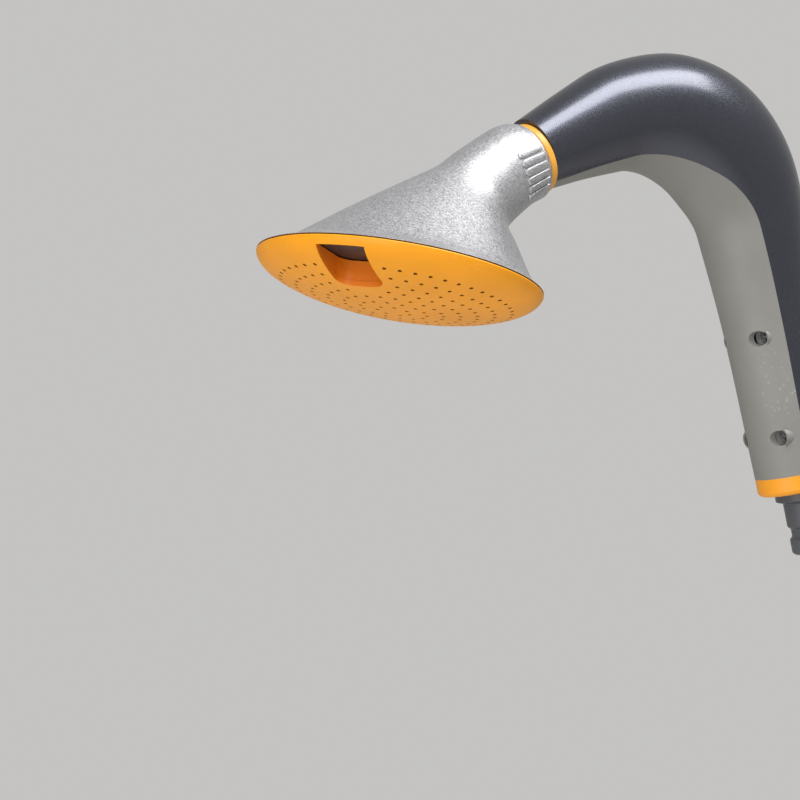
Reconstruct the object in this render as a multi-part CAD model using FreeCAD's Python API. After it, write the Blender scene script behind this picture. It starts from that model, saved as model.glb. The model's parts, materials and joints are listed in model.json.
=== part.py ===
"""Hand-held watering wand: spray rose, swivelling neck, arched body with flow valve, hose inlet.

Every shape is drawn with the centre of the rose's rim at zero, +Z up and +X towards the handle,
and is moved at the end so that zero is the middle of the hose inlet's sealing land.
"""
import FreeCAD
import Part
import math
import os

os.makedirs("parts", exist_ok=True)

# ---------------------------------------------------------------- driving dimensions, millimetres
ROSE_R = 50.0            # rim of the rose
ROSE_WALL = 2.2
RIM_LAND = 4.6           # width of the flat lower edge of the rose shell
NECK_X = 43.2            # end of the rose's neck
NECK_Z = 52.6
NECK_R = 14.3            # before the bevel at the neck's end
NECK_BEVEL = 1.6
NECK_TILT = 36.0         # neck axis above the horizontal, degrees
SOCKET_LEN = 17.0        # bored length inside the neck

DOME_DEPTH = 13.5        # how far the spray face bulges below its rim
FACE_WALL = 2.0
FACE_GAP = 0.3           # between pieces of different bodies
HOLE_RINGS = 7
HOLE_RING_STEP = 5.75    # ring k has HOLES_PER_RING * k holes
HOLES_PER_RING = 7
HOLE_R = 0.7
SLOT_ANGLE = 216.0       # the spout slot as stored, degrees from +X seen from above
SPOUT_ANGLE = 180.0      # the spout port in the port plate
SLOT_WIDTH = 17.5
SLOT_INNER = 26.0        # slot's inner end, from the rose's axis
SLOT_OUTER = 48.3
SLOT_CORNER_R = 4.5
COLLAR_WALL = 1.6
PLATE_T = 2.5            # port plate
PLATE_EDGE_GAP = 1.45    # between the plate's edge and the inside of the spray face
HUB_R = 4.0
HUB_RISE = 3.4           # hub above the port plate
PORT_R = 5.0
PORT_CIRCLE_R = 21.0
PORT_COUNT = 5
PORT_STEP = 38.0         # degrees between shower ports
PLATE_SCREW_CIRCLE_R = 33.0
PLATE_SCREW_ANGLES = (0.0, 105.0, -105.0)

PLATE_SCREW_LEN = 9.0
PLATE_BOSS_R = 3.4
PLATE_BOSS_LEN = 24.0
HOLE_KEEP_OFF = 3.4      # spray holes keep this far from the slot
CLIP_LOW = 0.6           # groove of the face clip above the port plate
SEAL_DEPTH = 1.5

RIB_COUNT = 6            # grip bars on each side of the neck
RIB_FIRST = 75.0         # degrees from the top of the neck
RIB_STEP = 12.0
RIB_LEN = 11.0
RIB_FROM_END = 2.0
RIB_W = 2.5
RIB_ROOT_R = 9.5
RIB_H = 0.6
RIB_END_R = 1.1

RING_W = 3.2             # coloured ring between rose and body
RING_R = 13.0
RUN_CLEAR = 0.08         # radial running clearance of the turning fits
SPIGOT_R = 8.0
SPIGOT_BORE_R = 5.2
SPIGOT_TAIL = 18.0       # spigot inside the body
ORING_R = 0.9            # section radius of every O-ring
CLIP_T = 1.0
CLIP_RISE = 1.6
SPIGOT_FLANGE_R = 10.6
SPIGOT_FLANGE_T = 3.0
NECK_ORING_FROM_END = (4.0, 10.0)
TUBE_ORING_IN = 4.0      # O-ring under the water tube's socket
TUBE_SOCKET_LEN = 10.0
TUBE_SOCKET_R = 9.8
RING_EDGE_R = 0.8

BODY_RUN = 34.6          # straight part of the body behind the ring
BEND_R = 47.0            # centre line of the arch
HANDLE_DROP = 66.0       # handle axis below the horizontal, degrees
HANDLE_LEN = 95.0
BODY_WALL = 2.3

TUBE_R = 6.0
TUBE_BORE_R = 4.6
TUBE_BEND_R = 33.0
VALVE_DOWN = 10.0        # valve centre below the end of the arch
VALVE_R = 10.8
VALVE_HALF = 15.0
BALL_R = 7.6
STEM_R = 3.0
KNOB_R = 11.0
KNOB_H = 5.0
PADDLE_LEN = 19.0
PADDLE_W = 9.0
SCREW_R = 1.5
SCREW_HEAD_R = 2.7
SCREW_HEAD_H = 1.8
SCREW_CROSS = 0.6        # arm of the cross slot, share of the head's radius
SCREW_SLIT = 0.25        # half width of the cross slot, share of the shank's radius
BODY_SCREW_Y = 9.6
BODY_SCREW_STATIONS = (42.0, 80.0)   # along the handle from the end of the arch
BOSS_R = 3.3
BODY_SCREW_BITE = 9.0
BODY_SCREW_HEAD_AT = 9.0 # heads below the handle's centre line
STEM_CLEAR = 0.4
END_PLATE_T = 4.0
KNOB_SEAT = 22.2         # flat on the body under the flow knob, from the handle's centre line
KNOB_SEAT_WIDER = 1.2
SEAT_T = 2.6
CHAMBER_R = 8.6          # bore round the valve ball
CHAMBER_HALF = 8.2
TUBE_SOCKET_IN = 4.5     # how far the tubes go into the valve
TOWER_R = 6.0            # stem tower of the valve housing
TOWER_TOP = 15.5
GLAND_W = 1.5
GLAND_DEPTH = 2.4
KNOB_ROOF = 3.4
KNOB_SCREW_LEN = 7.0
KNOB_EDGE_R = 1.5
FILTER_T = 1.2
FILTER_HOLE_R = 0.9
FILTER_STEP = 2.9
TANG_T = 2.2
TANG_W = 7.0

INLET_BORE_R = 6.5       # bore in which the inlet nipple turns
INLET_WALL = 1.9
INLET_SEAT = 15.0        # depth of that bore
NIPPLE_BORE_R = 4.3
NIPPLE_LAND_R = 8.0      # sealing land of the hose coupling
NIPPLE_LAND_LEN = 5.0
NIPPLE_FLANGE_R = 10.5
NIPPLE_LEN = 24.0
NIPPLE_TIP = 1.0         # chamfer at the end of the land
NIPPLE_FLANGE_T = 3.0
NIPPLE_WAIST_R = 6.9     # groove that the coupling's jaws hold
NIPPLE_WAIST_LEN = 5.0
NIPPLE_CLIP_AT = 3.0     # depth of the clip in the inlet
NIPPLE_CLIP_OUT = 0.8
NIPPLE_CLIP_IN = 0.5
NIPPLE_ORING_AT = 9.0
CAP_LEN = 7.0            # cap on the lower end of the handle
CAP_EDGE_R = 2.0

# Outline of the rose between rim and neck: share of the way to the neck in X and Z, share of the
# radius above the neck's, share of the neck's turn.
ROSE_STATIONS = (
    (0.117, 0.080, 0.793, 0.054),
    (0.366, 0.399, 0.338, 0.29),
    (0.507, 0.568, 0.111, 0.64),
    (0.616, 0.709, 0.056, 0.95),
    (0.843, 0.916, 0.026, 1.0),
)
HOLLOW_STATIONS = 4      # stations that also shape the hollow

# Body sections: distance along the centre line, reach outwards, reach inwards, half width.
BODY_STATIONS = (
    (0.0, 14.6, 12.3, 13.1),
    (17.0, 17.5, 14.5, 15.0),
    (34.0, 20.1, 17.6, 17.0),
    (48.0, 22.2, 20.2, 18.4),
    (64.0, 26.0, 22.5, 20.0),
    (80.0, 27.6, 23.7, 20.6),
    (96.0, 26.2, 24.0, 20.2),
    (118.0, 22.0, 21.6, 18.6),
    (157.0, 19.0, 18.6, 16.4),
    (213.3, 18.2, 17.2, 15.6),
)
# Parting line between the two body shells: distance along the centre line, offset inwards.
PARTING_STATIONS = (
    (0.0, 11.2),
    (17.0, 10.9),
    (34.0, 14.9),
    (48.0, 17.0),
    (64.0, 17.4),
    (80.0, 16.4),
    (96.0, 13.6),
    (118.0, 9.0),
    (157.0, 6.2),
    (213.3, 6.0),
)

# ---------------------------------------------------------------- values worked out from those
UP = FreeCAD.Vector(0, 0, 1)
SIDE = FreeCAD.Vector(0, 1, 0)
ZERO = FreeCAD.Vector(0, 0, 0)
FAR = 400.0              # longer than anything in the part
REACH = 50.0             # tool length that passes through one wall but not the whole part
SAME = 0.001             # two lengths closer than this are equal
BODY_SECTIONS = 16
OVAL_LEAST = 0.02        # an oval is at least this much taller than wide
CUT = 1.0                # how far a cutting tool runs past a face
FULL_TURN = 360.0
TILT_FROM_UP = 90.0 - NECK_TILT
PLATE_R = ROSE_R - FACE_WALL - PLATE_EDGE_GAP
COLLAR_TOP = -PLATE_T - FACE_GAP


def heading(degrees):
    """Unit vector in the XZ plane, degrees above +X."""
    turn = math.radians(degrees)
    return FreeCAD.Vector(math.cos(turn), 0, math.sin(turn))


NECK_AXIS = heading(NECK_TILT)
HANDLE_AXIS = heading(-HANDLE_DROP)
HANDLE_OUT = heading(90.0 - HANDLE_DROP)
NECK_END = FreeCAD.Vector(NECK_X, 0, NECK_Z)
BODY_START = NECK_END + NECK_AXIS * RING_W
BEND_START = BODY_START + NECK_AXIS * BODY_RUN
BEND_CENTRE = BEND_START - heading(NECK_TILT + 90.0) * BEND_R
BEND_TURN = NECK_TILT + HANDLE_DROP
BEND_END = BEND_CENTRE + HANDLE_OUT * BEND_R
BODY_LEN = BODY_RUN + math.radians(BEND_TURN) * BEND_R + HANDLE_LEN
HANDLE_END = BEND_END + HANDLE_AXIS * HANDLE_LEN
VALVE_CENTRE = BEND_END + HANDLE_AXIS * VALVE_DOWN
INLET_OUTER_R = INLET_BORE_R + INLET_WALL
INLET_MOUTH = HANDLE_END + HANDLE_AXIS * CAP_LEN
NIPPLE_BASE = INLET_MOUTH + HANDLE_AXIS * FACE_GAP
CLIP_HIGH = CLIP_LOW + CLIP_T
KNOB_TOP = KNOB_SEAT + FACE_GAP + KNOB_H
NECK_CLIP_LOW = -SOCKET_LEN - CLIP_T - FACE_GAP
NECK_ORING_AT = [-depth for depth in NECK_ORING_FROM_END]
LAND_MIDDLE = NIPPLE_BASE + HANDLE_AXIS * (NIPPLE_LEN - NIPPLE_LAND_LEN / 2.0 - NIPPLE_TIP)


# ---------------------------------------------------------------- helpers
def placed(shape, base, axis):
    """Turn a shape drawn along +Z so that it lies along axis, and put its zero at base."""
    result = shape.copy()
    spin = FreeCAD.Rotation(SIDE, math.degrees(math.atan2(axis.x, axis.z)))
    result.Placement = FreeCAD.Placement(base, spin).multiply(result.Placement)
    return result


def turned(points):
    """Solid of revolution about Z from (radius, height) corners."""
    corners = [FreeCAD.Vector(r, 0, z) for r, z in points]
    face = Part.Face(Part.makePolygon(corners + corners[:1]))
    return face.revolve(ZERO, UP, FULL_TURN)


def pipe(outer_r, inner_r, low, high):
    return turned([(inner_r, low), (outer_r, low), (outer_r, high), (inner_r, high)])


def rod(radius, low, high):
    return Part.makeCylinder(radius, high - low, FreeCAD.Vector(0, 0, low), UP)


def ring_of(centre_r, height):
    """An O-ring on the Z axis."""
    return Part.makeTorus(centre_r, ORING_R, FreeCAD.Vector(0, 0, height), UP)


def groove(outer_r, height):
    """Cutting ring for an O-ring that ends flush with outer_r."""
    return pipe(outer_r + CUT, outer_r - 2.0 * ORING_R, height - ORING_R, height + ORING_R)


def circle_wire(centre, normal, radius):
    return Part.Wire(Part.Circle(centre, normal, radius).toShape())


def path_point(station):
    """Centre line of the body: a point and its heading in degrees."""
    if station <= BODY_RUN:
        return BODY_START + NECK_AXIS * station, NECK_TILT
    turn = math.degrees((station - BODY_RUN) / BEND_R)
    if turn <= BEND_TURN:
        course = NECK_TILT - turn
        return BEND_CENTRE + heading(course + 90.0) * BEND_R, course
    rest = station - BODY_RUN - math.radians(BEND_TURN) * BEND_R
    return BEND_END + HANDLE_AXIS * rest, -HANDLE_DROP


def beside_path(station, inwards):
    point, course = path_point(station)
    return point - heading(course + 90.0) * inwards


def smooth_through(stations):
    """Curve whose parameter is the distance along the centre line, scaled to the body's length."""
    scale = BODY_LEN / stations[-1][0]
    places = [row[0] * scale for row in stations]
    points = [FreeCAD.Vector(*((row[1:] + (0.0, 0.0))[:3])) for row in stations]
    curve = Part.BSplineCurve()
    curve.interpolate(Points=points, Parameters=places)
    return curve


def even_stations():
    return [BODY_LEN * count / BODY_SECTIONS for count in range(BODY_SECTIONS + 1)]


def body_loft(inset):
    sizes = smooth_through(BODY_STATIONS)
    wires = []
    for station in even_stations():
        point, course = path_point(station)
        outer, inner, half_width = sizes.value(station)
        out = heading(course + 90.0)
        centre = point + out * ((outer - inner) / 2.0)
        tall = (outer + inner) / 2.0 - inset
        wide = min(half_width - inset, tall - OVAL_LEAST)
        oval = Part.Ellipse(centre + out * tall, centre + SIDE * wide, centre)
        wires.append(Part.Wire(oval.toShape()))
    return Part.makeLoft(wires, True, False)


def slot_prism(angle, margin, low, high):
    """U-shaped slot reaching to the rim; margin is added to its sides and inner end."""
    half = SLOT_WIDTH / 2.0 + margin
    inner = SLOT_INNER - margin
    outer = SLOT_OUTER + margin
    block = Part.makeBox(outer - inner, 2.0 * half, high - low, FreeCAD.Vector(inner, -half, low))
    corners = [e for e in block.Edges if is_upright(e) and e.CenterOfMass.x < inner + CUT]
    block = block.makeFillet(SLOT_CORNER_R + margin, corners)
    block = block.common(rod(outer, low, high))
    block.rotate(ZERO, UP, angle)
    return block


def is_upright(edge):
    ends = [v.Point for v in edge.Vertexes]
    return len(ends) == 2 and (ends[0] - ends[1]).cross(UP).Length < SAME


def around(angle, radius, height):
    turn = math.radians(angle)
    return FreeCAD.Vector(radius * math.cos(turn), radius * math.sin(turn), height)


def screw(base, axis, length):
    """Pan-head screw whose head sits on base and whose shank points along axis."""
    head = rod(SCREW_HEAD_R, -SCREW_HEAD_H, 0)
    arm = SCREW_HEAD_R * SCREW_CROSS
    slit = SCREW_R * SCREW_SLIT
    cross = Part.makeBox(2 * slit, 2 * arm, SCREW_R, FreeCAD.Vector(-slit, -arm, -SCREW_HEAD_H))
    cross_over = Part.makeBox(2 * arm, 2 * slit, SCREW_R, FreeCAD.Vector(-arm, -slit, -SCREW_HEAD_H))
    tip = Part.makeCone(SCREW_R, 0, CUT, FreeCAD.Vector(0, 0, length - CUT), UP)
    solid = head.cut([cross, cross_over]).fuse([rod(SCREW_R, 0, length - CUT), tip])
    return placed(solid.removeSplitter(), base, axis)


# ---------------------------------------------------------------- rose and spray face
def rose_loft(rim_inset, wall, upto):
    """Cone of the rose: circles that move from the rim to the neck while they tilt."""
    wires = [circle_wire(ZERO, UP, ROSE_R - rim_inset)]
    for share_x, share_z, share_r, share_tilt in ROSE_STATIONS[:upto]:
        centre = FreeCAD.Vector(NECK_X * share_x, 0, NECK_Z * share_z)
        radius = NECK_R + (ROSE_R - NECK_R) * share_r - wall
        wires.append(circle_wire(centre, heading(90.0 - TILT_FROM_UP * share_tilt), radius))
    if upto == len(ROSE_STATIONS):
        wires.append(circle_wire(NECK_END, NECK_AXIS, NECK_R - wall))
    return Part.makeLoft(wires, True, False)


def grip_ribs():
    """Two patches of low bars that follow the neck's surface, one on each side."""
    skin = rose_loft(0.0, -RIB_H, len(ROSE_STATIONS))
    bars = []
    for side in (-1.0, 1.0):
        for count in range(RIB_COUNT):
            bar = Part.makeBox(ROSE_R, RIB_W, RIB_LEN, FreeCAD.Vector(RIB_ROOT_R, -RIB_W / 2.0, 0))
            bar = bar.makeFillet(RIB_END_R, [e for e in bar.Edges if is_radial(e) and e.BoundBox.ZMax < CUT])
            bar.rotate(ZERO, UP, 180.0 - side * (RIB_FIRST + RIB_STEP * count))
            bar = placed(bar, NECK_END - NECK_AXIS * (RIB_LEN + RIB_FROM_END), NECK_AXIS)
            bars.append(bar.common(skin))
    return bars


def is_radial(edge):
    box = edge.BoundBox
    return box.YLength < SAME and box.ZLength < SAME


def rose_shell():
    outer = rose_loft(0.0, 0.0, len(ROSE_STATIONS))
    bosses = [plate_boss(angle) for angle in PLATE_SCREW_ANGLES]
    hollow = rose_loft(RIM_LAND, ROSE_WALL, HOLLOW_STATIONS).cut(bosses)
    shell = outer.cut(neck_bevel()).cut(hollow).fuse(grip_ribs())
    pilots = [rod(SCREW_R, -CUT, PLATE_SCREW_LEN).translated(plate_screw_at(a)) for a in PLATE_SCREW_ANGLES]
    lower = Part.makeBox(FAR, FAR, FAR, FreeCAD.Vector(-FAR / 2.0, -FAR / 2.0, -FAR))
    return only_solid(shell.cut([neck_bore(), lower] + pilots))


def neck_bevel():
    """Cutting ring that takes the corner off the neck's end."""
    far_r = NECK_R + 2.0 * CUT
    slope = [(NECK_R - NECK_BEVEL, CUT), (NECK_R - NECK_BEVEL, 0), (NECK_R + CUT, -NECK_BEVEL - CUT)]
    return placed(turned(slope + [(far_r, -NECK_BEVEL - CUT), (far_r, CUT)]), NECK_END, NECK_AXIS)


def neck_bore():
    """Socket of the spigot, with a wider room for its clip below."""
    bore_r = SPIGOT_R + RUN_CLEAR
    room_r = SPIGOT_R + CLIP_RISE + FACE_GAP
    room = [(0, -NECK_X), (room_r, -NECK_X), (room_r, -SOCKET_LEN)]
    bore = [(bore_r, -SOCKET_LEN), (bore_r, CUT), (0, CUT)]
    return placed(turned(room + bore), NECK_END, NECK_AXIS)


def plate_screw_at(angle):
    return around(angle, PLATE_SCREW_CIRCLE_R, 0)


def plate_boss(angle):
    return rod(PLATE_BOSS_R, 0, PLATE_BOSS_LEN).translated(plate_screw_at(angle))


def dome(radius, depth):
    """Lower half of a flattened ball."""
    ball = Part.makeSphere(1.0)
    squash = FreeCAD.Matrix()
    squash.scale(radius, radius, depth)
    ball = ball.transformGeometry(squash)
    below = Part.makeBox(FAR, FAR, FAR, FreeCAD.Vector(-FAR / 2.0, -FAR / 2.0, -FAR - FACE_GAP))
    return ball.common(below)


def hole_places():
    """Centres of the spray holes: rings about the rose's axis, left out round the slot."""
    places = []
    for ring in range(1, HOLE_RINGS + 1):
        count = HOLES_PER_RING * ring
        for step in range(count):
            angle = SLOT_ANGLE + FULL_TURN * (step + 0.5) / count
            place = around(angle, HOLE_RING_STEP * ring, 0)
            if not near_slot(place):
                places.append(place)
    return places


def near_slot(place):
    along = place.dot(around(SLOT_ANGLE, 1, 0))
    across = abs(place.dot(around(SLOT_ANGLE + 90.0, 1, 0)))
    return along > SLOT_INNER - HOLE_KEEP_OFF and across < SLOT_WIDTH / 2.0 + HOLE_KEEP_OFF


def face_plate():
    outer = dome(ROSE_R, DOME_DEPTH)
    inner = dome(ROSE_R - FACE_WALL, DOME_DEPTH - FACE_WALL)
    collar = slot_prism(SLOT_ANGLE, COLLAR_WALL, -DOME_DEPTH, COLLAR_TOP).common(outer)
    hub = rod(HUB_R, -DOME_DEPTH, HUB_RISE).cut(pipe(HUB_R + CUT, HUB_R - CUT, CLIP_LOW, CLIP_HIGH))
    hub = hub.fuse(rod(HUB_R - CUT, CLIP_LOW, CLIP_HIGH))
    top = Part.makeBox(FAR, FAR, FAR, FreeCAD.Vector(-FAR / 2.0, -FAR / 2.0, -FACE_GAP))
    hub = hub.common(outer.fuse(top))
    slot = slot_prism(SLOT_ANGLE, 0.0, -DOME_DEPTH - CUT, COLLAR_TOP + CUT)
    body = outer.cut(inner).fuse([collar, hub]).cut(slot)
    drills = [rod(HOLE_R, -DOME_DEPTH - CUT, COLLAR_TOP).translated(place) for place in hole_places()]
    return body.cut(drills)


def port_plate():
    plate = rod(PLATE_R, -PLATE_T, 0)
    middle = -PLATE_T / 2.0
    groove_ring = pipe(PLATE_R + CUT, PLATE_R - SEAL_DEPTH, middle - ORING_R, middle + ORING_R)
    cuts = [rod(HUB_R + RUN_CLEAR, -FAR, CUT), slot_prism(SPOUT_ANGLE, -CUT, -PLATE_T - CUT, CUT)]
    first = -PORT_STEP * (PORT_COUNT - 1) / 2.0
    for count in range(PORT_COUNT):
        place = around(first + PORT_STEP * count, PORT_CIRCLE_R, 0)
        cuts.append(rod(PORT_R, -PLATE_T - CUT, CUT).translated(place))
    for angle in PLATE_SCREW_ANGLES:
        cuts.append(rod(SCREW_R + RUN_CLEAR, -PLATE_T - CUT, CUT).translated(plate_screw_at(angle)))
        seat = rod(SCREW_HEAD_R + RUN_CLEAR, -PLATE_T - CUT, -PLATE_T + SCREW_HEAD_H)
        cuts.append(seat.translated(plate_screw_at(angle)))
    return plate.cut(groove_ring).cut(cuts)


def face_seal():
    """O-ring in the edge of the port plate, cut through where the spout port opens."""
    seal = ring_of(PLATE_R - SEAL_DEPTH + ORING_R, -PLATE_T / 2.0)
    return seal.cut(slot_prism(SPOUT_ANGLE, 0.0, -PLATE_T - CUT, CUT))


def face_clip():
    clip = pipe(HUB_R + CLIP_RISE, HUB_R - CUT, CLIP_LOW, CLIP_HIGH)
    return clip.cut(Part.makeBox(FAR, CLIP_RISE, FAR, FreeCAD.Vector(0, -CLIP_RISE / 2.0, 0)))


def plate_screws():
    base = [plate_screw_at(angle) - UP * (PLATE_T - SCREW_HEAD_H) for angle in PLATE_SCREW_ANGLES]
    return Part.Compound([screw(point, UP, PLATE_SCREW_LEN) for point in base])


# ---------------------------------------------------------------- neck swivel
def neck_spigot():
    low = -SOCKET_LEN - CLIP_T - 2.0 * CUT
    high = RING_W + SPIGOT_TAIL
    shape = pipe(SPIGOT_R, SPIGOT_BORE_R, low, high)
    flange = pipe(SPIGOT_FLANGE_R, SPIGOT_BORE_R, RING_W, RING_W + SPIGOT_FLANGE_T)
    cuts = [groove(SPIGOT_R, height) for height in NECK_ORING_AT]
    cuts.append(groove(SPIGOT_R, RING_W + SPIGOT_TAIL - TUBE_ORING_IN))
    cuts.append(pipe(SPIGOT_R + CUT, SPIGOT_R - CUT, NECK_CLIP_LOW, NECK_CLIP_LOW + CLIP_T))
    return placed(shape.fuse(flange).cut(cuts), NECK_END, NECK_AXIS)


def neck_orings():
    rings = [placed(ring_of(SPIGOT_R - ORING_R, h), NECK_END, NECK_AXIS) for h in NECK_ORING_AT]
    return Part.Compound(rings)


def neck_clip():
    clip = pipe(SPIGOT_R + CLIP_RISE, SPIGOT_R - CUT, NECK_CLIP_LOW, NECK_CLIP_LOW + CLIP_T)
    gap = Part.makeBox(FAR, CLIP_RISE, FAR, FreeCAD.Vector(0, -CLIP_RISE / 2.0, -FAR / 2.0))
    return placed(clip.cut(gap), NECK_END, NECK_AXIS)


def neck_ring():
    ring = pipe(RING_R, SPIGOT_R, FACE_GAP, RING_W)
    ring = ring.makeFillet(RING_EDGE_R, [e for e in ring.Edges if on_rim(e, RING_R)])
    return placed(ring, NECK_END, NECK_AXIS)


def on_rim(edge, radius):
    return edge.Curve.TypeId == "Part::GeomCircle" and abs(edge.Curve.Radius - radius) < SAME


# ---------------------------------------------------------------- body shells
def parting_zone():
    """Everything on the inner side of the parting line."""
    offsets = smooth_through(PARTING_STATIONS)
    points = [beside_path(station, offsets.value(station).x) for station in even_stations()]
    curve = Part.BSplineCurve()
    curve.interpolate(points)
    lead = points[0] - NECK_AXIS * REACH
    tail = points[-1] + HANDLE_AXIS * REACH
    edges = [Part.makeLine(lead, points[0]), curve.toShape(), Part.makeLine(points[-1], tail)]
    edges.append(Part.makeLine(tail, lead))
    face = Part.Face(Part.Wire(edges))
    return face.extrude(SIDE * FAR).translated(SIDE * (-FAR / 2.0))


def body_screw_axes():
    """Points on the handle's centre line beside the tube, where the shells are screwed together."""
    return [
        BEND_END + HANDLE_AXIS * station + SIDE * (side * BODY_SCREW_Y)
        for station in BODY_SCREW_STATIONS
        for side in (-1.0, 1.0)
    ]


def stem_hole(radius):
    return placed(rod(radius, 0, 2.0 * REACH), VALVE_CENTRE, HANDLE_OUT)


def body_hollow():
    outer = body_loft(0.0)
    hollow = body_loft(BODY_WALL)
    post = rod(BOSS_R, -REACH, REACH)
    bosses = [placed(post, point, HANDLE_OUT).common(outer) for point in body_screw_axes()]
    back_plate = end_plate().common(outer)
    knob_seat = placed(rod(KNOB_R + KNOB_SEAT_WIDER, 0, KNOB_SEAT), VALVE_CENTRE, HANDLE_OUT).cut(hollow)
    shell = outer.cut(hollow).fuse(bosses + [back_plate, knob_seat])
    cuts = [placed(rod(INLET_OUTER_R, -END_PLATE_T - CUT, CUT), HANDLE_END, HANDLE_AXIS)]
    cuts.append(placed(rod(SPIGOT_FLANGE_R, -CUT, SPIGOT_FLANGE_T), BODY_START, NECK_AXIS))
    return shell.cut(cuts)


def end_plate():
    """Web across the lower end of the handle that holds the inlet tube."""
    return placed(rod(REACH, -END_PLATE_T, 0), HANDLE_END, HANDLE_AXIS)


def body_upper():
    shell = body_hollow()
    cuts = [stem_hole(STEM_R + STEM_CLEAR)]
    for point in body_screw_axes():
        cuts.append(placed(rod(SCREW_R, -REACH, BODY_SCREW_BITE), point, HANDLE_OUT))
    return only_solid(shell.cut(parting_zone()).cut(cuts))


def body_lower():
    shell = body_hollow()
    cuts = []
    for point in body_screw_axes():
        cuts.append(placed(rod(SCREW_R + RUN_CLEAR, -REACH, REACH), point, HANDLE_OUT))
        seat = rod(SCREW_HEAD_R + RUN_CLEAR, -REACH, -BODY_SCREW_HEAD_AT)
        cuts.append(placed(seat, point, HANDLE_OUT))
    return only_solid(shell.common(parting_zone()).cut(cuts))


def only_solid(shape):
    """The largest solid of a result, without slivers."""
    return max(shape.Solids, key=lambda solid: solid.Volume)


def body_screws():
    length = BODY_SCREW_HEAD_AT + BODY_SCREW_BITE
    bases = [point - HANDLE_OUT * BODY_SCREW_HEAD_AT for point in body_screw_axes()]
    return Part.Compound([screw(base, HANDLE_OUT, length) for base in bases])


def handle_oval(inset):
    """Outline of the handle's lower end, drawn round the handle's axis."""
    station, outer, inner, half_width = BODY_STATIONS[-1]
    centre = HANDLE_END + HANDLE_OUT * ((outer - inner) / 2.0)
    tall = (outer + inner) / 2.0 - inset
    oval = Part.Ellipse(centre + HANDLE_OUT * tall, centre + SIDE * (half_width - inset), centre)
    return Part.Face(Part.Wire(oval.toShape()))


def end_cap():
    """Cap on the lower end of the handle, round the inlet tube."""
    cap = handle_oval(0.0).extrude(HANDLE_AXIS * CAP_LEN)
    low_edges = [e for e in cap.Edges if (e.CenterOfMass - HANDLE_END).dot(HANDLE_AXIS) > CAP_LEN - SAME]
    cap = cap.makeFillet(CAP_EDGE_R, low_edges)
    return cap.cut(placed(rod(INLET_OUTER_R, -CUT, FAR), HANDLE_END, HANDLE_AXIS))


# ---------------------------------------------------------------- water way
def corner_of(start, start_axis, end, end_axis):
    """Where the line from start along start_axis meets the line that arrives at end along end_axis."""
    gap = end - start
    across = start_axis.x * end_axis.z - start_axis.z * end_axis.x
    reach = (gap.x * end_axis.z - gap.z * end_axis.x) / across
    return start + start_axis * reach


def tube_path(start, start_axis, end, end_axis, radius):
    """Straight, one arc, straight."""
    corner = corner_of(start, start_axis, end, end_axis)
    half_turn = start_axis.getAngle(end_axis) / 2.0
    back = radius * math.tan(half_turn)
    first = corner - start_axis * back
    last = corner + end_axis * back
    inward = (end_axis - start_axis)
    inward.normalize()
    middle = corner + inward * (radius / math.cos(half_turn) - radius)
    arc = Part.Arc(first, middle, last).toShape()
    return Part.Wire([Part.makeLine(start, first), arc, Part.makeLine(last, end)])


def swept(path, start, axis, radius):
    return path.makePipeShell([circle_wire(start, axis, radius)], True, False)


def water_tube():
    """From the neck spigot over the arch to the valve."""
    start = NECK_END + NECK_AXIS * (RING_W + SPIGOT_TAIL)
    end = VALVE_CENTRE - HANDLE_AXIS * (VALVE_HALF - TUBE_SOCKET_IN)
    path = tube_path(start, NECK_AXIS, end, HANDLE_AXIS, TUBE_BEND_R)
    outer = swept(path, start, NECK_AXIS, TUBE_R)
    inner = swept(path, start, NECK_AXIS, TUBE_BORE_R)
    socket = placed(pipe(TUBE_SOCKET_R, SPIGOT_R, -TUBE_SOCKET_LEN, 0), start, NECK_AXIS)
    web = placed(pipe(TUBE_SOCKET_R, TUBE_BORE_R, 0, CLIP_T + CUT), start, NECK_AXIS)
    return outer.cut(inner).fuse([socket, web]).removeSplitter()


def tube_oring():
    height = RING_W + SPIGOT_TAIL - TUBE_ORING_IN
    return placed(ring_of(SPIGOT_R - ORING_R, height), NECK_END, NECK_AXIS)


def at_valve(shape):
    return placed(shape, VALVE_CENTRE, HANDLE_AXIS)


def on_stem(shape):
    return placed(shape, VALVE_CENTRE, HANDLE_OUT)


def valve_housing():
    seam = CHAMBER_HALF + CUT
    body = pipe(VALVE_R, TUBE_BORE_R, -VALVE_HALF, seam)
    chamber = rod(CHAMBER_R, -CHAMBER_HALF, seam)
    body = body.cut([chamber, rod(TUBE_R, -VALVE_HALF, -VALVE_HALF + TUBE_SOCKET_IN)])
    tower = on_stem(rod(TOWER_R, CHAMBER_R - CUT, TOWER_TOP)).cut(at_valve(chamber))
    bore = on_stem(rod(STEM_R + RUN_CLEAR, 0, TOWER_TOP + CUT))
    gland = on_stem(rod(STEM_R + GLAND_W, TOWER_TOP - GLAND_DEPTH, TOWER_TOP + CUT))
    return at_valve(body).fuse(tower).cut([bore, gland]).removeSplitter()


def valve_cap():
    seam = CHAMBER_HALF + CUT
    cap = pipe(VALVE_R, TUBE_BORE_R, seam, VALVE_HALF)
    plug = pipe(CHAMBER_R, TUBE_BORE_R, CHAMBER_HALF, seam)
    socket = rod(TUBE_R, VALVE_HALF - TUBE_SOCKET_IN, VALVE_HALF)
    return at_valve(cap.fuse(plug).cut(socket).removeSplitter())


def valve_ball():
    ball = Part.makeSphere(BALL_R).cut(rod(TUBE_BORE_R, -FAR, FAR))
    return at_valve(ball).cut(on_stem(tang_block(BALL_R)))


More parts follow.
